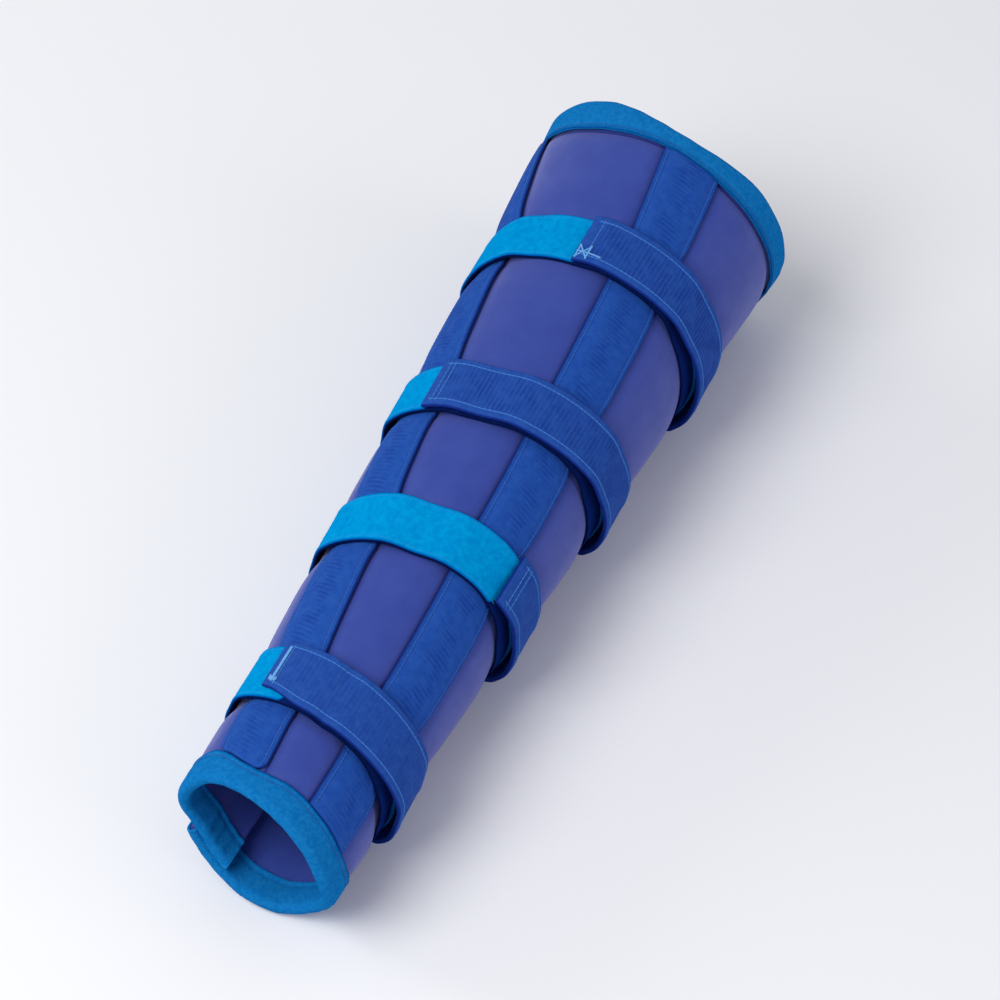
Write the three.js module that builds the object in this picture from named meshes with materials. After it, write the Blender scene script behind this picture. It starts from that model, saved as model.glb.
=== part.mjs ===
// Arm splint, 380 mm long, lying on its side as it rests by itself.
// A foam-laminate sleeve tapers from the shoulder end to the wrist, laps over
// itself lengthwise and is closed by four hook-and-loop straps.
// Millimetres and degrees. +X runs from the wrist to the shoulder end, +Z is up.
// Angles round the sleeve start at the top, +Z, and grow towards -Y.
import * as THREE from 'three';

// Sleeve
const sleeveLength = 380;
const wristRadius = 35.9;
const shoulderRadius = 58.5;
const panelThickness = 3.0;
const strapDent = 1.2;
const panelPuff = 0.9;

// Lengthwise closure: the panel's outer flap laps over its inner edge
const flapEdgeAngle = 248;
const flapOverlapAngle = 36;
const flapRampAngle = 36;

// Knitted bindings round both ends
const bindingWidth = 14;
const bindingThickness = 1.0;

// Webbing pockets for the stays
const pocketWidth = 25;
const pocketThickness = 1.5;
const pocketSeat = 0.45;

// Straps
const strapWidth = 25;
const wristStrapWidth = 27;
const loopThickness = 1.8;
const hookThickness = 2.2;
const loopDrift = 6;
const hookEdgeLift = 2.4;
const sideEdgeLift = 0.6;
const loopRootAngle = 152;
const loopEndAngle = 126;
const hookRootAngle = 143;
const tabTrimAngle = 50;

// Angles over which a shape of the straps or the sleeve comes in
const driftAngles = [40, 100];
const hookLiftAngles = [20, 85];
const hookSettleAngles = [115, 135];
const sideLiftAngles = [-25, -60];
const sideSettleAngles = [-85, -125];
const reliefFadeAngles = [110, 160];

// Clearance between touching pieces, and the depth pressed flat on the surface
const gap = 0.3;
const restFlat = 1.0;

// Steps of the mesh round the sleeve
const columnStep = 9;
const strapStep = columnStep / 2;

// Girth along the sleeve: flare 0 is the wrist's radius, 1 the shoulder end's.
// aside moves the section towards +Y, as a share of its radius.
const sections = [
  { along: 0.0, flare: 0.0, aside: 0.0 },
  { along: 0.2, flare: 0.11, aside: 0.0 },
  { along: 0.4, flare: 0.334, aside: 0.0 },
  { along: 0.6, flare: 0.559, aside: 0.0 },
  { along: 0.8, flare: 0.731, aside: 0.0 },
  { along: 1.0, flare: 1.0, aside: 0.015 },
];

// Lines round the sleeve lean: skew moves the -Y side and lean the top towards
// the shoulder end, and a wave moves a stretch round its angle, all as shares
// of the radius there
const wristRim = {
  along: 0,
  skew: -0.2,
  lean: 0.01,
  waves: [
    { angle: 130, reach: 60, wave: 0.19 },
    { angle: -75, reach: 50, wave: -0.06 },
  ],
};
const wristSeam = {
  ...wristRim,
  waves: [...wristRim.waves, { angle: -8, reach: 35, wave: -0.09 }],
};
const shoulderRim = {
  along: 1,
  skew: -0.09,
  lean: -0.17,
  waves: [{ angle: 15, reach: 45, wave: -0.07 }],
};
const shoulderSeam = {
  ...shoulderRim,
  waves: [{ angle: -35, reach: 50, wave: -0.05 }],
};

// Straps from the shoulder end to the wrist. tab is where the hook tape ends, and
// tabTrim is cut off its wrist edge there, as a share of the strap's width.
const straps = [
  {
    name: 'strap_1', along: 0.78, skew: 0.073, lean: -0.035,
    width: strapWidth, tab: -2, tabTrim: 0,
    waves: [{ angle: -30, reach: 60, wave: 0.045 }],
  },
  {
    name: 'strap_2', along: 0.564, skew: 0.094, lean: -0.133,
    width: strapWidth, tab: -31, tabTrim: 0,
  },
  {
    name: 'strap_3', along: 0.371, skew: 0.09, lean: -0.045,
    width: strapWidth, tab: 56, tabTrim: 0,
  },
  {
    name: 'strap_4', along: 0.149, skew: -0.107, lean: -0.042,
    width: wristStrapWidth, tab: -29, tabTrim: 0.16,
  },
];

// Stay pockets: the angle of each one's middle line, and how far it is spread
const pockets = [
  {
    name: 'front_stay_pocket',
    route: [
      { along: 0.0, angle: 54.0, spread: 1 },
      { along: 0.2, angle: 51.0, spread: 1 },
      { along: 0.8, angle: 29.0, spread: 1 },
      { along: 1.0, angle: 19.0, spread: 1.12 },
    ],
  },
  {
    name: 'side_stay_pocket',
    route: [
      { along: 0.0, angle: -17.7, spread: 1 },
      { along: 0.6, angle: -45.0, spread: 1 },
      { along: 0.8, angle: -58.0, spread: 1 },
      { along: 1.0, angle: -80.0, spread: 1 },
    ],
  },
];

// Lines between two neighbouring straps: place from one to the other, and puff
const puffLines = [
  { from: 0.22, puff: 0.75 },
  { from: 0.5, puff: 1.0 },
  { from: 0.78, puff: 0.75 },
];

// The rounded fold of a binding, in degrees from the outside face to the inside
const foldAngles = [90, 45, 0, -45, -90];

// Heights above the sleeve's outer face
const rimBulge = panelThickness / 2 + gap + bindingThickness;
const pocketTop = pocketSeat + pocketThickness;
const loopTop = gap + loopThickness;
const flapDrop = panelThickness + 2 * (bindingThickness + gap) + gap;

// Height of the sleeve's outer face over the surface where straps lie under it
const sleeveRest = loopTop;
const sleeveBase = sleeveRest - restFlat;

// Ease of the pieces that bridge an edge below them, in millimetres along it
const bridgeMargin = 2.5;
const bridgeRamp = 5;

function radians(degrees) {
  return (degrees * Math.PI) / 180;
}

function mix(start, end, share) {
  return start + (end - start) * share;
}

function easeBetween(low, high, value) {
  const share = Math.min(Math.max((value - low) / (high - low), 0), 1);
  return share * share * (3 - 2 * share);
}

// An angle brought into the half turn each way from the top
function foldedAngle(angle) {
  return angle - 360 * Math.round(angle / 360);
}

// A column's value at a share of the length, straight between a table's rows
function tableValue(table, column, share) {
  const last = table.length - 2;
  const below = table.filter((row) => row.along <= share).length - 1;
  const at = Math.min(Math.max(below, 0), last);
  const low = table[at];
  const high = table[at + 1];
  return mix(low[column], high[column], (share - low.along) / (high.along - low.along));
}

// Radius of the sleeve's outer face at a share of its length, without dents
function girth(share) {
  return mix(wristRadius, shoulderRadius, tableValue(sections, 'flare', share));
}

// Dents and puffs fade out where the sleeve is pressed on the surface
function reliefAt(angle) {
  return 1 - easeBetween(...reliefFadeAngles, Math.abs(foldedAngle(angle)));
}

// The loop tape lies nearer the wrist than the hook tape on the -Y side
function driftAt(angle) {
  const turn = foldedAngle(angle);
  const gone = easeBetween(loopEndAngle, loopRootAngle, turn);
  return loopDrift * (easeBetween(...driftAngles, turn) - gone);
}

// A shift that fades out on both sides of its middle angle
function waveAt({ angle, reach, wave }, turn) {
  const away = Math.min(Math.abs(foldedAngle(turn - angle)) / reach, 1);
  return (wave * (1 + Math.cos(Math.PI * away))) / 2;
}

// A line round the sleeve, shifted along it by some millimetres. A drift of 1
// follows the loop tape's own way to the wrist.
function roundLine(source, shift, relief = 0, drift = 0) {
  const middle = source.along * sleeveLength + shift;
  const radius = girth(source.along);
  const waves = source.waves ?? [];
  const x = (angle) => {
    const sway = waves.reduce((sum, wave) => sum + waveAt(wave, angle), 0);
    const across = source.skew * Math.sin(radians(angle));
    const slope = across + source.lean * Math.cos(radians(angle)) + sway;
    return middle + radius * slope - drift * driftAt(angle);
  };
  return { x, relief };
}

function lineBetween(low, high, from, relief) {
  return { x: (angle) => mix(low.x(angle), high.x(angle), from), relief };
}

const rimLines = {
  wristEnd: roundLine(wristRim, rimBulge),
  wristSeam: roundLine(wristSeam, bindingWidth),
  shoulderSeam: roundLine(shoulderSeam, -bindingWidth),
  shoulderEnd: roundLine(shoulderRim, -rimBulge),
};

// All lines of the sleeve's mesh, from the wrist to the shoulder end
function sleeveLines() {
  const bands = [...straps].reverse().map((strap) => [
    roundLine(strap, -strap.width / 2, -strapDent, 1),
    roundLine(strap, 0, -strapDent),
    roundLine(strap, strap.width / 2, -strapDent),
  ]);
  const found = [rimLines.wristEnd, rimLines.wristSeam];
  found.push(lineBetween(rimLines.wristSeam, bands[0][0], 0.5, panelPuff / 2));
  bands.forEach((band, index) => {
    if (index > 0) {
      const below = bands[index - 1][2];
      const between = ({ from, puff }) => lineBetween(below, band[0], from, puff * panelPuff);
      found.push(...puffLines.map(between));
    }
    found.push(...band);
  });
  const lastEdge = bands[bands.length - 1][2];
  found.push(lineBetween(lastEdge, rimLines.shoulderSeam, 0.35, panelPuff));
  found.push(lineBetween(lastEdge, rimLines.shoulderSeam, 0.7, panelPuff / 2));
  found.push(rimLines.shoulderSeam, rimLines.shoulderEnd);
  return found;
}

const lines = sleeveLines();

function lineRadius(line, angle) {
  return girth(line.x(angle) / sleeveLength) + line.relief * reliefAt(angle);
}

// Radius of the outer face at any place, straight between two lines
function faceRadius(x, angle) {
  const found = lines.findIndex((line) => line.x(angle) > x);
  const high = found < 0 ? lines.length - 1 : Math.max(found, 1);
  const low = lines[high - 1];
  const lowX = low.x(angle);
  const share = Math.min(Math.max((x - lowX) / (lines[high].x(angle) - lowX), 0), 1);
  return mix(lineRadius(low, angle), lineRadius(lines[high], angle), share);
}

// A point at a height above the sleeve's outer face. The underside is flat.
function place(x, angle, height) {
  const reach = faceRadius(x, angle) + height;
  const share = x / sleeveLength;
  const centre = sleeveBase + girth(share);
  const aside = girth(share) * tableValue(sections, 'aside', share);
  const y = aside - reach * Math.sin(radians(angle));
  const z = centre + reach * Math.cos(radians(angle));
  return new THREE.Vector3(x, y, Math.max(z, sleeveRest - height));
}

// The inner edge of the panel is pressed in by all that the flap needs
function closureDrop(turn) {
  const flapEdge = flapEdgeAngle - 360;
  return flapDrop * (1 - easeBetween(flapEdge, flapEdge + flapRampAngle, turn));
}

// Angles of the mesh between two ends: the common grid's, and both ends
function anglesBetween(start, end, step) {
  const origin = flapEdgeAngle - 360;
  const first = Math.floor((start - origin) / step) + 1;
  const angles = [start];
  for (let index = first; origin + index * step < end - step / 8; index += 1) {
    const angle = origin + index * step;
    if (angle > start + step / 8) {
      angles.push(angle);
    }
  }
  angles.push(end);
  return angles;
}

// A closed wall between an outer and an inner net of points
function wall(name, rows, columns, outerPoint, innerPoint, finish) {
  const positions = [];
  const index = [];
  const inner = rows * columns;
  for (const point of [outerPoint, innerPoint]) {
    for (let row = 0; row < rows; row += 1) {
      for (let column = 0; column < columns; column += 1) {
        positions.push(...point(row, column).toArray());
      }
    }
  }
  const at = (row, column) => row * columns + column;
  const quad = (a, b, c, d) => index.push(a, b, c, a, c, d);
  for (let row = 0; row < rows - 1; row += 1) {
    for (let column = 0; column < columns - 1; column += 1) {
      const corners = [at(row, column), at(row, column + 1), at(row + 1, column + 1), at(row + 1, column)];
      quad(...corners);
      quad(...corners.reverse().map((corner) => corner + inner));
    }
  }
  for (let column = 0; column < columns - 1; column += 1) {
    const low = [at(0, column), at(0, column + 1)];
    const high = [at(rows - 1, column), at(rows - 1, column + 1)];
    quad(low[1], low[0], low[0] + inner, low[1] + inner);
    quad(high[0], high[1], high[1] + inner, high[0] + inner);
  }
  for (let row = 0; row < rows - 1; row += 1) {
    const start = [at(row, 0), at(row + 1, 0)];
    const end = [at(row, columns - 1), at(row + 1, columns - 1)];
    quad(start[0], start[1], start[1] + inner, start[0] + inner);
    quad(end[1], end[0], end[0] + inner, end[1] + inner);
  }
  const geometry = new THREE.BufferGeometry();
  geometry.setAttribute('position', new THREE.Float32BufferAttribute(positions, 3));
  geometry.setIndex(index);
  geometry.computeVertexNormals();
  const mesh = new THREE.Mesh(geometry, finish);
  mesh.name = name;
  return mesh;
}

function fabric(colour, roughness) {
  return new THREE.MeshStandardMaterial({ color: colour, roughness, metalness: 0 });
}

// The whole panel runs from its inner edge once round and over it as the flap
const panelAngles = anglesBetween(
  flapEdgeAngle - flapOverlapAngle - 360,
  flapEdgeAngle,
  columnStep,
);

function sleeve() {
  const face = (depth) => (row, column) => {
    const angle = panelAngles[column];
    return place(lines[row].x(angle), angle, -depth - closureDrop(angle));
  };
  const finish = fabric(0x434ea0, 0.75);
  return wall('sleeve', lines.length, panelAngles.length, face(0), face(panelThickness), finish);
}

// A binding folds round one end of the sleeve. Its section runs from one leg's
// edge round the fold to the other, as two outlines: outside and against the panel.
function binding(name, seam, end, inward) {
  const outline = (reach) => {
    const fold = foldAngles.map((degrees) => ({
      past: reach * Math.cos(radians(degrees)),
      height: reach * Math.sin(radians(degrees)) - panelThickness / 2,
    }));
    const edge = (corner) => ({ past: 0, height: corner.height, atSeam: true });
    const points = [edge(fold[0]), ...fold, edge(fold[fold.length - 1])];
    return inward > 0 ? points.reverse() : points;
  };
  const face = (points) => (row, column) => {
    const angle = panelAngles[column];
    const { past, height, atSeam } = points[row];
    const x = atSeam ? seam.x(angle) : end.x(angle) - inward * past;
    return place(x, angle, height - closureDrop(angle));
  };
  const outside = outline(rimBulge);
  const against = outline(panelThickness / 2 + gap);
  const finish = fabric(0x1470b8, 0.85);
  return wall(name, outside.length, panelAngles.length, face(outside), face(against), finish);
}

function pocketAngle(pocket, x) {
  return tableValue(pocket.route, 'angle', x / sleeveLength);
}

function pocketHalfWidth(pocket, x) {
  return (pocketWidth / 2) * tableValue(pocket.route, 'spread', x / sleeveLength);
}

// A stay pocket lies along the sleeve between the two bindings
function stayPocket(pocket) {
  const shares = [-1, -0.5, 0, 0.5, 1];
  const start = roundLine(wristSeam, bindingWidth + gap);
  const end = roundLine(shoulderSeam, -bindingWidth - gap);
  const rows = [start, ...lines.slice(2, -2), end];
  const face = (height) => (row, column) => {
    const guess = pocketAngle(pocket, rows[row].x(0));
    const x = rows[row].x(guess);
    const turn = (shares[column] * pocketHalfWidth(pocket, x)) / girth(x / sleeveLength);
    const angle = pocketAngle(pocket, x) + (turn * 180) / Math.PI;
    return place(rows[row].x(angle), angle, height);
  };
  const finish = fabric(0x2452a2, 0.8);
  return wall(pocket.name, rows.length, shares.length, face(pocketTop), face(pocketSeat), finish);
}

// Straps rise over the stay pockets that they cross, some way before their edges
function pocketRise(x, angle, margin) {
  const rises = pockets.map((pocket) => {
    const turn = Math.abs(foldedAngle(angle - pocketAngle(pocket, x)));
    const away = radians(turn) * faceRadius(x, angle) - pocketHalfWidth(pocket, x) - margin;
    return pocketTop * (1 - easeBetween(0, bridgeRamp, away));
  });
  return Math.max(...rises);
}

// A strap keeps straight where the sleeve tapers, so its wrist edge stands off
function sideLift(angle) {
  const turn = foldedAngle(angle);
  const settled = easeBetween(...sideSettleAngles, turn);
  return sideEdgeLift * easeBetween(...sideLiftAngles, turn) * (1 - settled);
}

// A strap's band between two angles, laid at an underside height, with its wrist
// edge lifted and trimmed
function band(strap, piece, angles) {
  const edges = [-strap.width / 2, strap.width / 2];
  const face = (extra) => (row, column) => {
    const angle = angles[column];
    const atWrist = row === 0;
    const shift = edges[row] + (atWrist ? piece.trim(angle) : 0);
    const x = roundLine(strap, shift, 0, piece.drift).x(angle);
    const lift = atWrist ? piece.lift(angle) : 0;
    return place(x, angle, piece.underside(x, angle) + lift + extra);
  };
  const { name, thickness, finish } = piece;
  return wall(name, edges.length, angles.length, face(thickness), face(0), finish);
}

// The loop tape starts at its root low on the -Y side, passes under the sleeve,
// up the +Y side and over the top, and ends under the hook tape
function loopTape(strap) {
  const piece = {
    name: `${strap.name}_loop`,
    thickness: loopThickness,
    finish: fabric(0x0a9ad8, 0.95),
    drift: 1,
    trim: () => 0,
    lift: sideLift,
    underside: (x, angle) => gap + pocketRise(x, angle, bridgeMargin),
  };
  return band(strap, piece, anglesBetween(loopRootAngle - 360, loopEndAngle, strapStep));
}

// The hook tape starts at its own root and comes over the loop tape to its tab
function hookTape(strap) {
  const settled = (angle) => easeBetween(...hookSettleAngles, angle);
  const own = (angle) => easeBetween(...hookLiftAngles, angle) * (1 - settled(angle));
  const piece = {
    name: `${strap.name}_hook`,
    thickness: hookThickness,
    finish: fabric(0x214b9e, 0.8),
    drift: 0,
    trim: (angle) => {
      const nearTab = 1 - easeBetween(strap.tab, strap.tab + tabTrimAngle, angle);
      return strap.tabTrim * strap.width * nearTab;
    },
    lift: (angle) => sideLift(angle) + hookEdgeLift * own(angle),
    underside: (x, angle) => {
      const past = radians(angle - loopEndAngle) * faceRadius(x, angle);
      const overLoop = loopTop * (1 - easeBetween(1, 1 + bridgeRamp, past));
      return gap + pocketRise(x, angle, 2 * bridgeMargin) + overLoop;
    },
  };
  return band(strap, piece, anglesBetween(strap.tab, hookRootAngle, strapStep));
}

function splint() {
  const group = new THREE.Group();
  group.add(sleeve());
  group.add(binding('wrist_binding', rimLines.wristSeam, rimLines.wristEnd, 1));
  group.add(binding('shoulder_binding', rimLines.shoulderSeam, rimLines.shoulderEnd, -1));
  pockets.forEach((pocket) => group.add(stayPocket(pocket)));
  straps.forEach((strap) => group.add(loopTape(strap), hookTape(strap)));
  // The origin is the middle of the footprint, on the surface that it rests on
  const box = new THREE.Box3().setFromObject(group);
  const middle = box.getCenter(new THREE.Vector3());
  group.position.set(-middle.x, -middle.y, -box.min.z);
  return group;
}

export default splint();
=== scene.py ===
# %% [markdown]
# # An arm splint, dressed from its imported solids
# The splint is a foam-laminate panel rolled round the arm. It is bound with knit
# at both ends, stiffened by two stays in webbing pockets, and closed by four
# hook-and-loop straps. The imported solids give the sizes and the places. This
# lesson puts finer cloth over each of them.

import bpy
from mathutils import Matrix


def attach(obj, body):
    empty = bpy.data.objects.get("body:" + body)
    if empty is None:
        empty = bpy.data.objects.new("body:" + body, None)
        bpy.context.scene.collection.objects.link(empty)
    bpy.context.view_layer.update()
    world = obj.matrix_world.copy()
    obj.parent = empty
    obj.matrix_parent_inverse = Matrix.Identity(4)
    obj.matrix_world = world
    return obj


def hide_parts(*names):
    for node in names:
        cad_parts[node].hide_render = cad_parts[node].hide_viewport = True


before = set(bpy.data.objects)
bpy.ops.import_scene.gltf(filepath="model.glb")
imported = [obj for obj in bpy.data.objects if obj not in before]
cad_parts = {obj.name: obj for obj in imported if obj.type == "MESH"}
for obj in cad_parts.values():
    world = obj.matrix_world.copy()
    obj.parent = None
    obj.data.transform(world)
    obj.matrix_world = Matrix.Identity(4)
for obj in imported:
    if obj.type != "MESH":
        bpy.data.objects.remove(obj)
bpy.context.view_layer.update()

# %% Other modules
import math

import bpy
import numpy as np
from mathutils import Matrix, Vector

# %% [markdown]
# ## Sizes
# Cloth is cut and sewn in millimetres, so the sizes below are in millimetres too,
# and place(), the one function that makes points, hands back metres. Angles go
# round the sleeve from its top, and grow towards the camera's right.

# %% Sizes of the panel and its trimmings
SLEEVE_LENGTH = 380.0
WRIST_RADIUS = 35.9
SHOULDER_RADIUS = 58.5
PANEL_THICKNESS = 3.0
STRAP_DENT = 1.2
PANEL_PUFF = 0.9
PUFF_END_ANGLES = (110, 160)
RIPPLE_END_ANGLES = (120, 150)
INNER_EDGE_ANGLE = -148.0
FLAP_EDGE_ANGLE = 248.0
FLAP_RAMP_ANGLE = 36.0
BINDING_WIDTH = 14.0
BINDING_THICKNESS = 1.0
BINDING_STITCH_INSET = 2.4
POCKET_WIDTH = 25.0
POCKET_TOP = 1.95
GAP = 0.3
REST_FLAT = 1.0
MILLIMETRE = 0.001
# The solids' origin is the middle of the footprint, and here it is the wrist end
ORIGIN = np.array((192.2676, 1.1259, 0.0))
print("panel", SLEEVE_LENGTH, "mm long, radii", WRIST_RADIUS, "and", SHOULDER_RADIUS)

# %% Sizes of the straps
BASE_THICKNESS = 0.8
VELOUR_THICKNESS = 1.0
LOOP_TOP = GAP + BASE_THICKNESS + VELOUR_THICKNESS
VELOUR_CUT_BACK = 4.5
HOOK_THICKNESS = 2.2
LOOP_DRIFT = 6.0
DRIFT_RISE = (40, 100)
HOOK_EDGE_LIFT = 2.4
HOOK_LIFT_RISE = (20, 85)
HOOK_LIFT_FALL = (115, 135)
SIDE_EDGE_LIFT = 0.6
SIDE_LIFT_RISE = (-25, -60)
SIDE_LIFT_FALL = (-85, -125)
LOOP_ROOT_ANGLE = 152.0
LOOP_END_ANGLE = 126.0
HOOK_ROOT_ANGLE = 143.0
TAB_TRIM_ANGLE = 30.0
BRIDGE_MARGIN = 2.5
BRIDGE_RAMP = 15.0
SLEEVE_REST = LOOP_TOP
SLEEVE_BASE = SLEEVE_REST - REST_FLAT
FLAP_DROP = PANEL_THICKNESS + 2 * (BINDING_THICKNESS + GAP) + GAP
print("loop tape's top", LOOP_TOP, "mm, flap's drop", FLAP_DROP, "mm")

# %% Tables of the form
# Share of the length, and how far the girth has grown from wrist to shoulder end
FLARE = ((0.0, 0.0), (0.2, 0.11), (0.4, 0.334), (0.6, 0.559), (0.8, 0.731), (1.0, 1.0))
# Share of the length, and how far the section has moved aside, in radii
ASIDE = ((0.0, 0.0), (0.8, 0.0), (1.0, 0.015))

# Waves are (angle, reach, share of the radius)
WRIST_WAVES = ((130, 60, 0.19), (-75, 50, -0.06))
WRIST_RIM = {"along": 0, "skew": -0.2, "lean": 0.01, "waves": WRIST_WAVES}
WRIST_SEAM = {**WRIST_RIM, "waves": WRIST_WAVES + ((-8, 35, -0.09),)}
SHOULDER_RIM = {"along": 1, "skew": -0.09, "lean": -0.17, "waves": ((15, 45, -0.07),)}
SHOULDER_SEAM = {**SHOULDER_RIM, "waves": ((-35, 50, -0.05),)}

# "end" is the angle where the velour's whole width has gone under the hook tape,
# "ribs" is how clearly that tape's ribs show, in relief and in the painted shade of
# their hollows, and "rows" how far back from the tab's end its rows of stitches lie,
# in millimetres
STRAP_COLUMNS = (
    "name", "along", "skew", "lean", "waves", "width", "tab", "trim", "end", "ribs", "rows")
STRAPS = [dict(zip(STRAP_COLUMNS, row)) for row in (
    ("strap_1", 0.78, 0.073, -0.035, ((-30, 60, 0.045),), 25, -2, 0, 1, 1.0, (5.0,)),
    ("strap_2", 0.564, 0.094, -0.133, (), 25, -31, 0, -28, 0.9, (4.2, 6.4)),
    ("strap_3", 0.371, 0.09, -0.045, (), 25, 56, 0, 58.5, 0.5, (4.2, 6.4)),
    ("strap_4", 0.149, -0.107, -0.042, (), 27, -29, 0.16, -12, 0.45, (5.0,)))]
# Share of the length, angle of the middle line, and how far the webbing is spread
POCKETS = {
    "front_stay_pocket": ((0, 54, 1), (0.2, 51, 1), (0.8, 29, 1), (1, 19, 1.12)),
    "side_stay_pocket": ((0, -17.7, 1), (0.6, -45, 1), (0.8, -58, 1), (1, -80, 1)),
}
print("straps at", [round(strap["along"] * SLEEVE_LENGTH) for strap in STRAPS], "mm")

# %% [markdown]
# ## The sleeve's surface as a function
# On the real splint everything is laid on one rolled panel, so one function says
# where a point is: place(x, angle, height). x runs along the arm, angle goes round
# it, and height stands off the outer face. Tapes, bindings and stitches only say
# how high they lie, and follow each dent by themselves. A mesh wrapped with
# modifiers would be quicker, but its edges would not keep to the seams.


# %% Small helpers for the form
def ease(low, high, value):
    share = np.clip((value - low) / (high - low), 0, 1)
    return share * share * (3 - 2 * share)


def folded(angle):
    return angle - 360 * np.round(angle / 360)


def table_value(rows, column, share):
    """A column at a share of the length, straight between rows and past the ends."""
    table = np.array(rows, float)
    share = np.asarray(share, float)
    at = np.clip(np.searchsorted(table[:, 0], share, side="right") - 1, 0, len(table) - 2)
    low, high = table[at], table[at + 1]
    part = (share - low[..., 0]) / (high[..., 0] - low[..., 0])
    return low[..., column] + (high[..., column] - low[..., column]) * part


def girth(share):
    flare = table_value(FLARE, 1, share)
    return WRIST_RADIUS + (SHOULDER_RADIUS - WRIST_RADIUS) * flare


def girth_at(x):
    return girth(x / SLEEVE_LENGTH)


def drift_at(angle):
    turn = folded(angle)
    risen = ease(*DRIFT_RISE, turn) - ease(LOOP_END_ANGLE, LOOP_ROOT_ANGLE, turn)
    return LOOP_DRIFT * risen


def line_x(line, angle, shift=0.0, drift=0.0):
    """Place along the arm of a line that goes round it, such as a seam."""
    turn = np.radians(angle)
    slope = line["skew"] * np.sin(turn) + line["lean"] * np.cos(turn)
    for middle, reach, share in line["waves"]:
        away = np.minimum(np.abs(folded(angle - middle)) / reach, 1)
        slope = slope + share * (1 + np.cos(np.pi * away)) / 2
    start = line["along"] * SLEEVE_LENGTH + shift
    return start + girth(line["along"]) * slope - drift * drift_at(angle)


print("girth at both ends", float(girth(0)), float(girth(1)))


# %% Dents under the straps and the puffed panel between them
def borders(angle):
    """Where the panel's stretches begin and end, and how deep it is pressed there."""
    found = [(line_x(WRIST_SEAM, angle, BINDING_WIDTH), 0.0)]
    for strap in reversed(STRAPS):
        half = strap["width"] / 2
        found.append((line_x(strap, angle, -half, 1), -STRAP_DENT))
        found.append((line_x(strap, angle, half), -STRAP_DENT))
    found.append((line_x(SHOULDER_SEAM, angle, -BINDING_WIDTH), 0.0))
    return found


def relief(x, angle):
    """Height of the dents and puffs. Foam bulges beside an edge that presses it."""
    rise = np.zeros(np.broadcast(x, angle).shape)
    edges = borders(angle)
    for index in range(len(edges) - 1):
        (low, low_level), (high, high_level) = edges[index:index + 2]
        share = (x - low) / (high - low)
        inside = (share >= 0) & (share <= 1)
        if index % 2:
            found = low_level
        else:
            top = PANEL_PUFF * (0.5 if index == 0 else 1)
            level = np.where(share < 0.5, low_level, high_level)
            found = top + (level - top) * np.abs(2 * share - 1) ** 4
        rise = np.where(inside, found, rise)
    return rise * (1 - ease(*PUFF_END_ANGLES, np.abs(folded(angle))))


def place(x, angle, height):
    """A point in metres, at a height above the panel's outer face."""
    share = x / SLEEVE_LENGTH
    radius = girth(share)
    reach = radius + relief(x, angle) + height
    turn = np.radians(angle)
    y = radius * table_value(ASIDE, 1, share) - reach * np.sin(turn)
    z = SLEEVE_BASE + radius + reach * np.cos(turn)
    z = np.maximum(z, SLEEVE_REST - height)
    return (np.stack(np.broadcast_arrays(x, y, z), -1) - ORIGIN) * MILLIMETRE


def closure_drop(angle):
    """The panel's inner edge is pressed in by all that the flap over it needs."""
    flap = FLAP_EDGE_ANGLE - 360
    return FLAP_DROP * (1 - ease(flap, flap + FLAP_RAMP_ANGLE, angle))


print("top of the shoulder end", place(SLEEVE_LENGTH, 0.0, 0.0).round(4))


# %% [markdown]
# ## Cloth as a closed wall
# A cloth piece is drawn as two nets of points, its outside and its underside, and
# the wall between them is closed. Rounded edges come from the nets themselves:
# towards a border the two draw together, as a cut and pressed edge does. Each
# point also keeps what the materials need: its place in the cloth, its distance
# from the border, and whether ribs are raised there.


# %% Places along a tape, closer together in its rounded edges
def stations(length, step, edge):
    near = edge * np.array((0, 0.04, 0.16, 0.4))
    count = max(2, round((length - 2 * edge) / step) + 1)
    return np.concatenate((near, np.linspace(edge, length - edge, count), length - near[::-1]))


def border_distance(places, length):
    return np.minimum(places, length - places)


def swell(distance, edge):
    """Half thickness as a share, from nothing on the border to full past its edge."""
    return np.sqrt(np.clip(1 - (1 - np.minimum(distance / edge, 1)) ** 2, 0, 1))


print("places across a 25 mm tape", len(stations(25.0, 1.5, 1.3)))


# %% A closed wall between two nets
def new_piece(name, data):
    """An object at the origin for a mesh, a camera or a light."""
    piece = bpy.data.objects.new(name, data)
    bpy.context.scene.collection.objects.link(piece)
    return piece


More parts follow.
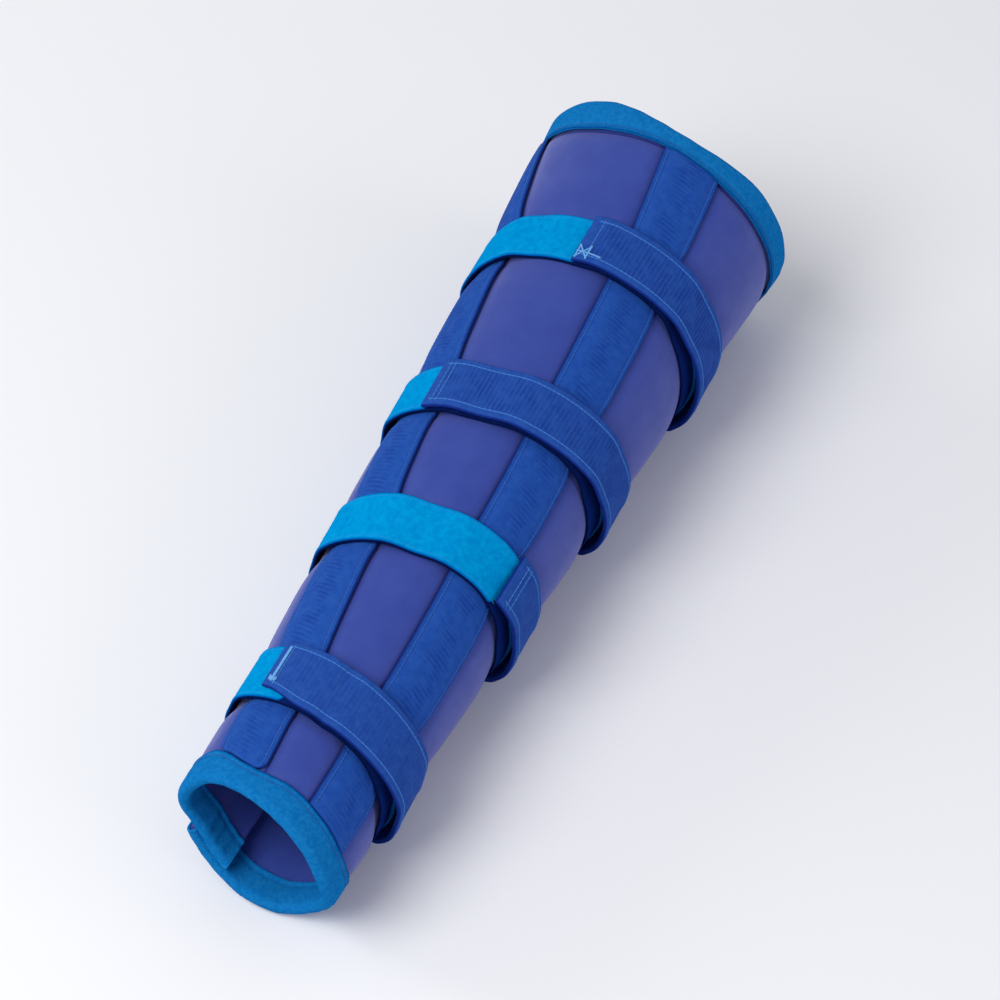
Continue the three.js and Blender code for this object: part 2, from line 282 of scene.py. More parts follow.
def wall(name, outer, inner, cloth, marks):
    """outer and inner are nets of points, cloth their places in the cloth in metres."""
    rows, columns = outer.shape[:2]
    points = np.concatenate((outer.reshape(-1, 3), inner.reshape(-1, 3)))
    count = rows * columns
    index = np.arange(count).reshape(rows, columns)
    below = index + count
    rim = np.concatenate((index[0, :-1], index[:-1, -1], index[-1, :0:-1], index[:0:-1, 0]))
    after = np.roll(rim, -1)

    def quads(*corners):
        return np.stack(corners, -1).reshape(-1, 4)

    faces = np.concatenate((
        quads(index[:-1, :-1], index[:-1, 1:], index[1:, 1:], index[1:, :-1]),
        quads(below[1:, :-1], below[1:, 1:], below[:-1, 1:], below[:-1, :-1]),
        quads(after, rim, rim + count, after + count)))
    a, b, c, d = (points[faces[:, k]] for k in range(4))
    volume = np.einsum("ij,ij->i", a, np.cross(b, c) + np.cross(c, d)).sum()
    if volume < 0:
        faces = faces[:, ::-1]
    mesh = bpy.data.meshes.new(name)
    mesh.from_pydata(points.tolist(), [], faces.tolist())
    mesh.polygons.foreach_set("use_smooth", np.ones(len(faces), bool))
    corner = np.zeros(len(mesh.loops), np.int32)
    mesh.loops.foreach_get("vertex_index", corner)
    flat = np.tile(cloth.reshape(-1, 2), (2, 1))
    mesh.uv_layers.new(name="cloth").data.foreach_set("uv", flat[corner].ravel())
    # The edge mark sets where the materials paint shade along the border, and the rib mark
    # where they paint shade between ribs
    for mark, (over, under) in marks.items():
        both = [np.broadcast_to(v, (rows, columns)).ravel() for v in (over, under)]
        kept = mesh.attributes.new(mark, "FLOAT", "POINT")
        kept.data.foreach_set("value", np.concatenate(both).astype(np.float32))
    mesh.update()
    return new_piece(name, mesh)


def net_area(net):
    """Area of a net of points, in square metres."""
    across = net[1:, :-1] - net[:-1, :-1]
    along = net[:-1, 1:] - net[:-1, :-1]
    return float(np.linalg.norm(np.cross(across, along), axis=-1).sum())


# %% [markdown]
# ## Colours and shared shader effects
# All cloth here is dyed, so a colour is never quite even, and its threads raise a
# fine bump. Shade is painted into the colour in the hollows between ribs and along
# the edges and seams. These effects are node groups, built once and placed in each
# material with its own numbers.


# %% Helpers for node trees
def linear(red, green, blue):
    """A colour from 0-255 screen values, as the shaders want it."""
    found = []
    for value in (red, green, blue):
        share = value / 255
        found.append(share / 12.92 if share <= 0.04045 else ((share + 0.055) / 1.055) ** 2.4)
    return (*found, 1.0)


def new_group(name, kind, inputs, outputs):
    """A new tree, and its sockets seen from within. Each socket is (label, kind)."""
    tree = bpy.data.node_groups.new(name, kind)
    for direction, sockets in (("INPUT", inputs), ("OUTPUT", outputs)):
        for label, value in sockets:
            tree.interface.new_socket(
                label, in_out=direction, socket_type="NodeSocket" + value)
    enter, leave = (tree.nodes.new("NodeGroup" + end) for end in ("Input", "Output"))
    return tree, enter.outputs, leave.inputs


def node(tree, kind, inputs=(), **settings):
    """A new node. Each of inputs is (socket, a value or another node's output)."""
    made = tree.nodes.new(kind)
    for key, value in settings.items():
        setattr(made, key, value)
    for key, value in inputs:
        if isinstance(value, bpy.types.NodeSocket):
            tree.links.new(value, made.inputs[key])
        else:
            made.inputs[key].default_value = value
    return made


def maths(tree, operation, first, second=0.0, clamp=False):
    return node(tree, "ShaderNodeMath", ((0, first), (1, second)), operation=operation,
                use_clamp=clamp).outputs[0]


def times(tree, first, second):
    return maths(tree, "MULTIPLY", first, second)


def mixed(tree, share, first, second):
    """A blend of two colours."""
    return node(tree, "ShaderNodeMix", ((0, share), (6, first), (7, second)),
                data_type="RGBA").outputs[2]


def ranged(tree, value, *ends):
    """A value spread from one range over another. Each of ends is (socket, value)."""
    return node(tree, "ShaderNodeMapRange", (("Value", value), *ends)).outputs[0]


def new_material(name):
    """A material, its tree and its Principled shader."""
    made = bpy.data.materials.new(name)
    made.use_nodes = True
    return made, made.node_tree, made.node_tree.nodes["Principled BSDF"]


def set_sockets(shader, *pairs):
    for key, value in pairs:
        shader.inputs[key].default_value = value


# %% Uneven dye
dye, enter, leave = new_group(
    "Uneven dye", "ShaderNodeTree",
    (("Vector", "Vector"), ("Base", "Color"), ("Light", "Color"), ("Scale", "Float"),
     ("Amount", "Float")),
    (("Color", "Color"), ("Mask", "Float")))
cloud = node(dye, "ShaderNodeTexNoise", (
    ("Vector", enter["Vector"]), ("Scale", enter["Scale"]),
    ("Detail", 4.0), ("Roughness", 0.6)))
patch = ranged(dye, cloud.outputs[0], ("From Min", 0.35), ("From Max", 0.65))
share = times(dye, patch, enter["Amount"])
blend = mixed(dye, share, enter["Base"], enter["Light"])
dye.links.new(blend, leave["Color"])
dye.links.new(patch, leave["Mask"])

# %% Crossing threads, with painted shade between the ribs
threads, enter, leave = new_group(
    "Crossing threads", "ShaderNodeTree",
    (("Vector", "Vector"), ("Pitch across", "Float"), ("Pitch along", "Float"),
     ("Wander", "Float")),
    (("Height", "Float"), ("Hollow shade", "Float")))
split = node(threads, "ShaderNodeSeparateXYZ", ((0, enter["Vector"]),))
pulls = node(threads, "ShaderNodeTexNoise", (
    ("Vector", enter["Vector"]), ("Scale", 260.0), ("Detail", 2.0)))
pull = times(threads, maths(threads, "SUBTRACT", pulls.outputs[0], 0.5), enter["Wander"])
turns = []
for axis, pitch in enumerate(("Pitch across", "Pitch along")):
    cycles = maths(threads, "DIVIDE", split.outputs[axis], enter[pitch])
    cycles = maths(threads, "ADD", cycles, pull)
    turns.append(maths(threads, "SINE", times(threads, cycles, 2 * math.pi)))
crossed = times(threads, *turns)
threads.links.new(ranged(threads, crossed, ("From Min", -1.0)), leave["Height"])
# Painted shade: the hollows between the ribs are darkened, patchily, by this output
hollow_shade = ranged(threads, turns[1], ("From Min", 1.0), ("From Max", -1.0))
shade_patches = node(threads, "ShaderNodeTexNoise", (
    ("Vector", enter["Vector"]), ("Scale", 110.0), ("Detail", 1.0)))
strength = ranged(
    threads, shade_patches.outputs[0], ("From Min", 0.36), ("From Max", 0.62), ("To Min", 0.15))
threads.links.new(times(threads, hollow_shade, strength), leave["Hollow shade"])

# %% Painted shade along an edge
painted_edge_shade, enter, leave = new_group(
    "Painted edge shade", "ShaderNodeTree",
    (("Color", "Color"), ("Distance", "Float"), ("Width", "Float"), ("Dark", "Color"),
     ("Amount", "Float")),
    (("Color", "Color"),))
# Painted shade: near an edge or seam the colour is blended towards the shade colour
near = maths(painted_edge_shade, "DIVIDE", enter["Distance"], enter["Width"])
fade = maths(painted_edge_shade, "SUBTRACT", 1.0, near, clamp=True)
share = times(painted_edge_shade, fade, enter["Amount"])
blend = mixed(painted_edge_shade, share, enter["Color"], enter["Dark"])
painted_edge_shade.links.new(blend, leave["Color"])
print("shader groups", [g.name for g in (dye, threads, painted_edge_shade)])

# %% [markdown]
# ## One recipe for all the cloths
# A dyed cloth is its colour pair, a mottle, a thread pattern, a painted shade along
# its edges and between its ribs, and a sheen. The numbers differ and the recipe
# doesn't, so one function builds them all. The Principled shader stays in the
# material, where the export can read it.


# %% Cloth material
THREAD_WANDER = 0.3
# Share of painted shade right on an edge or seam
EDGE_PAINTED_SHADE = 0.9
ROUGHNESS_SPREAD = 0.06
FUZZ_DEPTH = 0.15


def cloth_material(name, base, light, shade_colour, mottle, amount, pitch, ribs, bump, rough,
                   edge, gloss=0.0, sheen=0.0, tint=(1, 1, 1)):
    """mottle is the size of the uneven patches and edge the width of the painted shade along
    the border, in mm. shade_colour is that painted shade, also used between ribs.
    """
    made, tree, shader = new_material(name)
    coordinates = node(tree, "ShaderNodeTexCoord").outputs["Object"]
    patches = node(tree, "ShaderNodeGroup", (
        ("Vector", coordinates), ("Base", linear(*base)), ("Light", linear(*light)),
        ("Scale", 1 / (mottle * MILLIMETRE)), ("Amount", amount)), node_tree=dye)
    weave = node(tree, "ShaderNodeGroup", (
        ("Vector", node(tree, "ShaderNodeUVMap", uv_map="cloth").outputs[0]),
        ("Pitch across", pitch[0] * MILLIMETRE), ("Pitch along", pitch[1] * MILLIMETRE),
        ("Wander", THREAD_WANDER)), node_tree=threads)
    rib_mark = node(tree, "ShaderNodeAttribute", attribute_name="rib").outputs["Fac"]
    # Painted shade: rib hollows, then edges and seams, are darkened towards shade_colour
    shade = times(tree, times(tree, weave.outputs["Hollow shade"], ribs), rib_mark)
    ribbed = mixed(tree, shade, patches.outputs["Color"], linear(*shade_colour))
    border = node(tree, "ShaderNodeAttribute", attribute_name="edge").outputs["Fac"]
    edge_shaded = node(tree, "ShaderNodeGroup", (
        ("Color", ribbed), ("Distance", border), ("Width", edge),
        ("Dark", linear(*shade_colour)), ("Amount", EDGE_PAINTED_SHADE)), node_tree=painted_edge_shade)
    tree.links.new(edge_shaded.outputs["Color"], shader.inputs["Base Color"])
    uneven = ranged(tree, patches.outputs["Mask"], ("To Min", rough + ROUGHNESS_SPREAD),
                    ("To Max", rough - ROUGHNESS_SPREAD))
    tree.links.new(uneven, shader.inputs["Roughness"])
    fuzz = maths(tree, "ADD", weave.outputs["Height"], patches.outputs["Mask"])
    raised = node(tree, "ShaderNodeBump", (
        ("Height", fuzz), ("Strength", bump), ("Distance", FUZZ_DEPTH * MILLIMETRE)))
    tree.links.new(raised.outputs[0], shader.inputs["Normal"])
    set_sockets(shader, ("Sheen Weight", sheen), ("Sheen Roughness", 0.45),
                ("Sheen Tint", (*tint, 1)), ("Specular IOR Level", gloss))
    return made


# The third colour of each cloth is its painted shade, for rib hollows and edges
PANEL_CLOTH = cloth_material(
    "panel laminate", (48, 66, 146), (58, 76, 156), (18, 26, 104),
    12, 0.5, (0.9, 0.9), 0.0, 0.2, 0.55, 0.8, 0.15, 0.42, (0.62, 0.6, 1.0))
POCKET_WEBBING = cloth_material(
    "pocket webbing", (28, 72, 154), (42, 88, 168), (12, 40, 122),
    3.4, 0.5, (1.1, 2.1), 0.5, 0.4, 0.8, 0.8, 0.05)
BINDING_KNIT = cloth_material(
    "binding knit", (10, 104, 171), (34, 130, 191), (0, 50, 122),
    1.8, 0.5, (1.1, 1.1), 0.12, 0.6, 0.9, 1.4)
LOOP_VELOUR = cloth_material(
    "loop velour", (0, 134, 199), (4, 162, 218), (0, 76, 162),
    2.8, 0.6, (0.8, 0.8), 0.1, 0.8, 1.0, 1.0)
BASE_WEBBING = cloth_material(
    "base webbing", (9, 30, 92), (15, 40, 106), (4, 12, 48),
    5, 0.6, (1.1, 2.2), 0.3, 0.5, 0.8, 1.2)
HOOK_WEBBING = cloth_material(
    "hook webbing", (31, 71, 151), (45, 87, 165), (8, 28, 112),
    3, 0.5, (1.1, 1.8), 0.55, 0.4, 0.8, 0.6, 0.05)
print("cloths", len(bpy.data.materials))


# %% Thread material
def thread_material(name, colour, pale):
    """Sewing thread. Its twist shows as fine stripes."""
    made, tree, shader = new_material(name)
    coordinates = node(tree, "ShaderNodeTexCoord").outputs["Object"]
    twist = node(tree, "ShaderNodeTexNoise", (
        ("Vector", coordinates), ("Scale", 1800.0), ("Detail", 2.0)))
    dyed = mixed(tree, twist.outputs[0], linear(*colour), linear(*pale))
    tree.links.new(dyed, shader.inputs["Base Color"])
    set_sockets(shader, ("Roughness", 0.7), ("Specular IOR Level", 0.2))
    return made


HOOK_THREAD = thread_material("hook thread", (44, 95, 173), (60, 118, 192))
POCKET_THREAD = thread_material("pocket thread", (32, 77, 159), (46, 95, 175))
TACK_THREAD = thread_material("tack thread", (84, 148, 212), (120, 180, 226))
BINDING_THREAD = thread_material("binding thread", (4, 84, 152), (12, 102, 170))
LOOP_THREAD = thread_material("loop thread", (0, 120, 190), (10, 144, 208))
print("cloths and threads", len(bpy.data.materials))

# %% [markdown]
# ## Ribs and pile by Geometry Nodes
# Webbing is woven over thick crosswise threads, and velour is a field of loops, so
# neither is flat. A small tree moves a piece's points along their normals: a wave
# along the cloth makes ribs, and noise makes the pile. It works on any piece that
# carries the marks rib and along.

# %% The tree that raises ribs and pile
def end_tree(tree, geometry, enter, leave):
    """The last nodes of a tree make real meshes and give them their material."""
    real = node(tree, "GeometryNodeRealizeInstances", ((0, geometry),))
    painted = node(tree, "GeometryNodeSetMaterial", (
        ("Geometry", real.outputs[0]), ("Material", enter["Material"])))
    tree.links.new(painted.outputs[0], leave[0])
    print(tree.name, len(tree.nodes), "nodes")


ribbing, enter, leave = new_group(
    "Raise ribs and pile", "GeometryNodeTree",
    (("Geometry", "Geometry"), ("Rib pitch", "Float"), ("Rib height", "Float"),
     ("Pile height", "Float"), ("Pile size", "Float"), ("Seed", "Float"),
     ("Material", "Material")),
    (("Geometry", "Geometry"),))
marks = []
for mark in ("rib", "along"):
    read = node(ribbing, "GeometryNodeInputNamedAttribute", (("Name", mark),))
    marks.append(read.outputs["Attribute"])
pulls = node(ribbing, "ShaderNodeTexNoise", (("Scale", 170.0), ("Detail", 1.0)))
cycles = maths(ribbing, "DIVIDE", marks[1], enter["Rib pitch"])
cycles = maths(ribbing, "ADD", cycles, times(ribbing, pulls.outputs[0], 0.3))
wave = maths(ribbing, "SINE", times(ribbing, cycles, 2 * math.pi))
ribs_up = times(ribbing, wave, enter["Rib height"])
fine = maths(ribbing, "DIVIDE", 1.0, enter["Pile size"])
pile = node(ribbing, "ShaderNodeTexNoise", (
    ("Scale", fine), ("Detail", 1.5), ("W", enter["Seed"])), noise_dimensions="4D")
centred = maths(ribbing, "SUBTRACT", pile.outputs[0], 0.5)
pile_up = times(ribbing, centred, enter["Pile height"])
both = times(ribbing, maths(ribbing, "ADD", ribs_up, pile_up), marks[0])
push = node(ribbing, "ShaderNodeVectorMath", (
    (0, node(ribbing, "GeometryNodeInputNormal").outputs[0]), ("Scale", both)),
    operation="SCALE")
moved = node(ribbing, "GeometryNodeSetPosition", (
    ("Geometry", enter["Geometry"]), ("Offset", push.outputs[0])))
end_tree(ribbing, moved.outputs[0], enter, leave)


# %% Running a tree and keeping its result
def run_tree(piece, tree, material, lengths, seed=0.0):
    """Puts the tree on the piece, with lengths in mm, and keeps the result as its mesh."""
    values = {name: length * MILLIMETRE for name, length in lengths.items()}
    values |= {"Material": material, "Seed": seed}
    modifier = piece.modifiers.new(tree.name, "NODES")
    modifier.node_group = tree
    for item in tree.interface.items_tree:
        if item.in_out == "INPUT" and item.name in values:
            modifier[item.identifier] = values[item.name]
    evaluated = piece.evaluated_get(bpy.context.evaluated_depsgraph_get())
    mesh = bpy.data.meshes.new_from_object(evaluated)
    piece.modifiers.remove(modifier)
    old = piece.data
    piece.data = mesh
    bpy.data.meshes.remove(old)
    mesh.name = piece.name
    print(piece.name, len(mesh.polygons), "faces")
    return piece


def finish_cloth(piece, material, pitch=2.9, ribs=0.0, pile=0.0, grain=1.2, seed=0.0):
    return run_tree(piece, ribbing, material, {
        "Rib pitch": pitch, "Rib height": ribs, "Pile height": pile, "Pile size": grain}, seed)


# %% [markdown]
# ## The panel
# The sleeve is one tapered panel of foam between two fabrics, 3 mm thick, rolled
# until its outer flap laps over its inner edge. The straps press it in and it
# puffs up between them. Where the pockets and bindings are sewn on, the seam
# pulls a narrow groove. Its columns follow the pockets, so the groove is crisp.


# %% Where the pockets lie
def pocket_angle(route, x):
    return table_value(route, 1, x / SLEEVE_LENGTH)


def pocket_half(route, x):
    return POCKET_WIDTH / 2 * table_value(route, 2, x / SLEEVE_LENGTH)


def past_pocket(route, x, angle):
    """Distance round the sleeve from a pocket's edge, less than nothing under it."""
    turn = np.radians(np.abs(folded(angle - pocket_angle(route, x))))
    return turn * girth_at(x) - pocket_half(route, x)


def pocket_edges(x):
    """Angles of the pockets' four edges, between the panel's own two edges."""
    found = [np.full_like(x, INNER_EDGE_ANGLE)]
    for name in ("side_stay_pocket", "front_stay_pocket"):
        route = POCKETS[name]
        half = np.degrees(pocket_half(route, x) / girth_at(x))
        found += [pocket_angle(route, x) - half, pocket_angle(route, x) + half]
    return found + [np.full_like(x, FLAP_EDGE_ANGLE)]


print("edges at the wrist", [round(float(edge[0]), 1) for edge in pocket_edges(np.zeros(1))])


# %% Columns and rows of the panel's net
SEAM_STEPS = np.array((0.0, 0.5, 1.0, 1.6, 2.4, 3.6, 5.4))


def graded(length, step):
    """Shares of a stretch, close together at both ends where the seams are."""
    middle = np.linspace(SEAM_STEPS[-1], length - SEAM_STEPS[-1], int(length / step))
    ends = SEAM_STEPS[:-1]
    return np.concatenate((ends, middle, length - ends[::-1])) / length


panel_columns = [(0, 0.0)]
for stretch, (length, step) in enumerate(((66, 2.4), (25, 3), (62, 2.4), (25, 3), (200, 2.4))):
    panel_columns += [(stretch, share) for share in graded(length, step)[1:]]
column_stretch = np.array([stretch for stretch, _ in panel_columns])
column_share = np.array([share for _, share in panel_columns])

panel_rows = [(0, 0.0), (0, 0.35), (0, 0.7)]
for stretch in range(1, 10):
    shares = np.linspace(0, 1, 7) if stretch % 2 == 0 else graded(52, 3.4)
    panel_rows += [(stretch, share) for share in shares[:-1]]
panel_rows += [(10, 0.0), (10, 0.35), (10, 0.7), (10, 1.0)]


def row_x(stretch, share, angle):
    edges = [line_x(WRIST_RIM, angle, 2.8)] + [x for x, _ in borders(angle)]
    edges.append(line_x(SHOULDER_RIM, angle, -2.8))
    return edges[stretch] + (edges[stretch + 1] - edges[stretch]) * share


def panel_net():
    """x and angle of each point: rows keep to the straps, columns to the pockets."""
    nets = []
    for stretch, share in panel_rows:
        x = np.full(len(panel_columns), 0.5 * SLEEVE_LENGTH)
        for _ in range(6):
            edges = np.array(pocket_edges(x))
            low = edges[column_stretch, np.arange(len(x))]
            high = edges[column_stretch + 1, np.arange(len(x))]
            angle = low + (high - low) * column_share
            x = row_x(stretch, share, angle)
        nets.append((x, angle))
    return np.array(nets).transpose(1, 0, 2)


panel_x, panel_angle = panel_net()
print("panel net", panel_x.shape)


# %% The seams' grooves and the panel itself
def seam_distance(x, angle):
    """Distance from the nearest sewn edge, in millimetres."""
    found = [np.abs(past_pocket(route, x, angle)) for route in POCKETS.values()]
    found.append(np.abs(x - line_x(WRIST_SEAM, angle, BINDING_WIDTH)))
    found.append(np.abs(x - line_x(SHOULDER_SEAM, angle, -BINDING_WIDTH)))
    return np.minimum.reduce(found)


def ripple(x, angle):
    """The slight waves of a foam panel that is rolled by hand."""
    slow = np.sin(x / 23 + 1.4 * np.sin(angle / 31)) * np.sin(angle / 17 + x / 61)
    quick = np.sin(x / 9.5 + angle / 13) * np.sin(angle / 7.3 - x / 37)
    return 0.24 * slow + 0.06 * quick


def make_panel():
    x, angle = panel_x, panel_angle
    away = seam_distance(x, angle)
    arc = np.radians(angle) * girth_at(x)
    ends = np.minimum(angle - INNER_EDGE_ANGLE, FLAP_EDGE_ANGLE - angle)
    cut = swell(np.radians(ends) * girth_at(x), PANEL_THICKNESS / 2)
    free = 1 - ease(*RIPPLE_END_ANGLES, np.abs(folded(angle)))
    pulled = 1.0 * np.exp(-(away / 3.4) ** 2) + 0.25 * np.exp(-(away / 0.9) ** 2)
    bumps = (ripple(x, angle) - pulled) * free
    middle = -PANEL_THICKNESS / 2 - closure_drop(angle)
    half = PANEL_THICKNESS / 2 * cut
    outer = place(x, angle, middle + half + bumps)
    inner = place(x, angle, middle - half + 0.4 * bumps)
    cloth = np.stack((arc, x), -1) * MILLIMETRE
    piece = wall("sleeve_panel", outer, inner, cloth, {
        "edge": (away, 9.0), "rib": (1.0, 1.0), "along": (x * MILLIMETRE, 0.0)})
    return piece, net_area((outer + inner) / 2)


panel, panel_area = make_panel()
finish_cloth(panel, PANEL_CLOTH, pile=0.05, grain=2.5, seed=1.0)
print("panel area", round(panel_area, 4))

# %% [markdown]
# ## The bindings
# A strip of knit is folded over each cut end and sewn through, so it hides the
# foam. Its section is a long U: the outer leg, a round fold past the end, and the
# inner leg. The leg is pulled down at its stitching and swells on both sides.


# %% The section of a binding
BINDING_REACH = PANEL_THICKNESS / 2 + GAP + BINDING_THICKNESS
LEG_SHARES = np.array((0.0, 0.02, 0.06, 0.11, 0.16, 0.22, 0.3, 0.42, 0.56, 0.7, 0.84))


def binding_section(reach):
    """Way past the end, height above the panel's middle and place on the leg, in rows."""
    fold = np.radians(np.linspace(90, -90, 13))
    over = np.stack((0 * LEG_SHARES, 0 * LEG_SHARES + reach, LEG_SHARES), -1)
    rounded = np.stack((reach * np.cos(fold), reach * np.sin(fold), 0 * fold + 1), -1)
    section = np.concatenate((over, rounded, (over * (1, -1, 1))[::-1]))
    return section.T[..., None]


def binding_angles(step):
    ends = step * np.array((0.0, 0.06, 0.2, 0.5))
    inner = np.arange(INNER_EDGE_ANGLE + step, FLAP_EDGE_ANGLE - step / 2, step)
    return np.concatenate((INNER_EDGE_ANGLE + ends, inner, FLAP_EDGE_ANGLE - ends[::-1]))


def sewn_leg(distance):
    """How far the cloth is pulled down beside its row of stitches."""
    return 0.45 * np.exp(-((distance - BINDING_STITCH_INSET) / 0.8) ** 2)


# %% Both bindings
def make_binding(name, seam, end, inward, step, seed):
    angle = binding_angles(step)
    past, height, share = binding_section(BINDING_REACH)
    past_in, height_in, _ = binding_section(PANEL_THICKNESS / 2 + 0.1)
    seam_line = line_x(seam, angle, inward * BINDING_WIDTH)
    end_line = line_x(end, angle, inward * BINDING_REACH)
    leg_x = seam_line + (end_line - seam_line) * share
    x, x_in = leg_x - inward * past, leg_x - inward * past_in
    from_seam = np.abs(x - seam_line)
    thin = swell(from_seam + 0.25, 1.2)
    cut = swell(np.minimum(angle - INNER_EDGE_ANGLE, FLAP_EDGE_ANGLE - angle) + 0.2, 1.2)
    half = (height - height_in) / 2 * thin * cut
    sewn = np.where(past == 0, sewn_leg(from_seam) * np.sign(height), 0.0)
    wavy = 0.12 * np.sin(angle / 2.7 + 3 * np.sin(angle / 19))
    centre = wavy + (height + height_in) / 2 - PANEL_THICKNESS / 2 - closure_drop(angle)
    outer = place(x, angle, centre + half - sewn)
    inner = place(x_in, angle, centre - half - 0.5 * sewn)
    across = share * BINDING_WIDTH + past - 2 * np.minimum(height, 0)
    along = np.radians(angle) * girth(seam["along"])
    cloth = np.stack(np.broadcast_arrays(across, along), -1) * MILLIMETRE
    piece = wall(name, outer, inner, cloth, {
        "edge": (from_seam + 4 * (height <= 0), 9.0), "rib": (thin, 0.0),
        "along": (cloth[..., 1] + 0.6 * cloth[..., 0], 0.0)})
    return finish_cloth(piece, BINDING_KNIT, 1.7, 0.02, 0.14, 1.1, seed)


wrist_binding = make_binding("wrist_knit", WRIST_SEAM, WRIST_RIM, 1, 0.62, 2.0)
shoulder_binding = make_binding(
    "shoulder_knit", SHOULDER_SEAM, SHOULDER_RIM, -1, 0.5, 3.0)

# %% [markdown]
# ## The stay pockets
# Two strips of webbing are sewn down along both edges, and a flat stay slides in
# between them and the panel. So the strip is thin at its edges, dips at the two
# stitch rows and is lifted in the middle by the stay.

# %% Height across a pocket
# Share of the half width, height of the top above the panel
POCKET_PROFILE = np.array((
    (0.0, POCKET_TOP), (0.45, 1.9), (0.6, 1.78), (0.72, 1.45), (0.8, 1.12), (0.86, 0.9),
    (0.9, 0.98), (0.95, 1.02), (0.98, 0.9), (1.0, 0.55)))
POCKET_SHARES = (-1, -0.99, -0.965, -0.93, -0.9, -0.87, -0.84, -0.8, -0.74, -0.66, -0.56,
                 -0.42, -0.25, -0.08)
POCKET_STITCH = 0.86
POCKET_LENGTH = 350.0
# Radius of the rounded corners at the wrist end
POCKET_CORNERS = {"front_stay_pocket": 0.0, "side_stay_pocket": 5.0}


def pocket_place(name, share_across, share_along):
    """x and angle of a point on a pocket, from shares of its width and length."""
    route = POCKETS[name]
    corner = POCKET_CORNERS[name]
    to_corner = 1 - np.minimum(share_along * POCKET_LENGTH / max(corner, 0.1), 1)
    narrower = corner * (1 - np.sqrt(1 - to_corner ** 2)) / (POCKET_WIDTH / 2)
    angle = pocket_angle(route, np.full_like(share_along, 0.5 * SLEEVE_LENGTH))
    for _ in range(8):
        start = line_x(WRIST_SEAM, angle, BINDING_WIDTH + GAP)
        end = line_x(SHOULDER_SEAM, angle, -BINDING_WIDTH - GAP)
        x = start + (end - start) * share_along
        half = pocket_half(route, x) * (1 - narrower)
        angle = pocket_angle(route, x) + np.degrees(share_across * half / girth_at(x))
    return x, angle


def make_pocket(name, seed):
    shares = np.array(POCKET_SHARES + tuple(-s for s in POCKET_SHARES[::-1]))
    places = stations(POCKET_LENGTH, 0.62, 0.7)
    across, along = np.meshgrid(shares, places / POCKET_LENGTH)
    from_ends = border_distance(along * POCKET_LENGTH, POCKET_LENGTH)
    x, angle = pocket_place(name, across, along)
    top = np.interp(np.abs(across), *POCKET_PROFILE.T)
    ends = swell(from_ends + 0.2, 0.9)
    outer = place(x, angle, 0.12 + (top - 0.12) * ends)
    inner = place(x, angle, 0.05 + 0.25 * (1 - np.abs(across)))
    cloth = np.stack((across * POCKET_WIDTH / 2, along * POCKET_LENGTH), -1) * MILLIMETRE
    beside = (1 - np.abs(across)) * POCKET_WIDTH / 2
    ribs = 1 - ease(0.15, 0.6, np.abs(across))
    piece = wall(name + "_webbing", outer, inner, cloth, {
        "edge": (np.minimum(beside, 0.4 + from_ends), 9.0),
        "rib": (ribs, 0.0), "along": (cloth[..., 1], 0.0)})
    return finish_cloth(piece, POCKET_WEBBING, 2.1, 0.06, seed=seed)


pockets = {name: make_pocket(name, 4.0 + index) for index, name in enumerate(POCKETS)}


# %% [markdown]
# ## The straps
# Each strap has two parts that grip each other. A navy base tape with a cyan
# velour of loops passes right round the sleeve, and a dark blue webbing with hooks
# beneath comes over it and ends in a free tab. All are bands laid at a height above
# the panel, and they rise over the pockets in a short ramp.


# %% How a strap lies
def pocket_rise(x, angle, margin):
    rises = [POCKET_TOP * (1 - ease(0, BRIDGE_RAMP, past_pocket(route, x, angle) - margin))
             for route in POCKETS.values()]
    return np.maximum(*rises)


def side_lift(angle):
    turn = folded(angle)
    return SIDE_EDGE_LIFT * ease(*SIDE_LIFT_RISE, turn) * (1 - ease(*SIDE_LIFT_FALL, turn))


def loop_point(strap, angle, across, height):
    """A point of the lower tape. across is 0 on its middle line."""
    x = line_x(strap, angle, across, 1)
    near_wrist = 0.5 - across / strap["width"]
    under = GAP + pocket_rise(x, angle, BRIDGE_MARGIN) + near_wrist * side_lift(angle)
    return place(x, angle, under + height)


def velour_point(strap, angle, across, height):
    """Where the hook tape lies over it, the velour is cut back from the wrist edge."""
    near_wrist = 0.5 - across / strap["width"]
    hidden = ease(strap["end"] - 4, strap["end"] + 3, angle)
    cut_back = (VELOUR_CUT_BACK + drift_at(angle)) * hidden
    return loop_point(strap, angle, across + near_wrist * cut_back, height)


def hook_point(strap, angle, across, height):
    """A point of the upper tape, whose wrist edge stands off on the far side."""
    near_wrist = 0.5 - across / strap["width"]
    trim = 1 - ease(strap["tab"], strap["tab"] + TAB_TRIM_ANGLE, angle)
    shift = across + near_wrist * strap["trim"] * strap["width"] * trim
    x = line_x(strap, angle, shift)
    lift = HOOK_EDGE_LIFT * ease(*HOOK_LIFT_RISE, angle) * (1 - ease(*HOOK_LIFT_FALL, angle))
    past = np.radians(angle - LOOP_END_ANGLE) * girth_at(x)
    over_loop = LOOP_TOP * (1 - ease(1, 6, past))
    rise = pocket_rise(x, angle, 2 * BRIDGE_MARGIN) + near_wrist * (lift + side_lift(angle))
    return place(x, angle, GAP + rise + over_loop + height)


print("strap 1 beside its tab", hook_point(STRAPS[0], 0.0, 0.0, HOOK_THICKNESS).round(4))


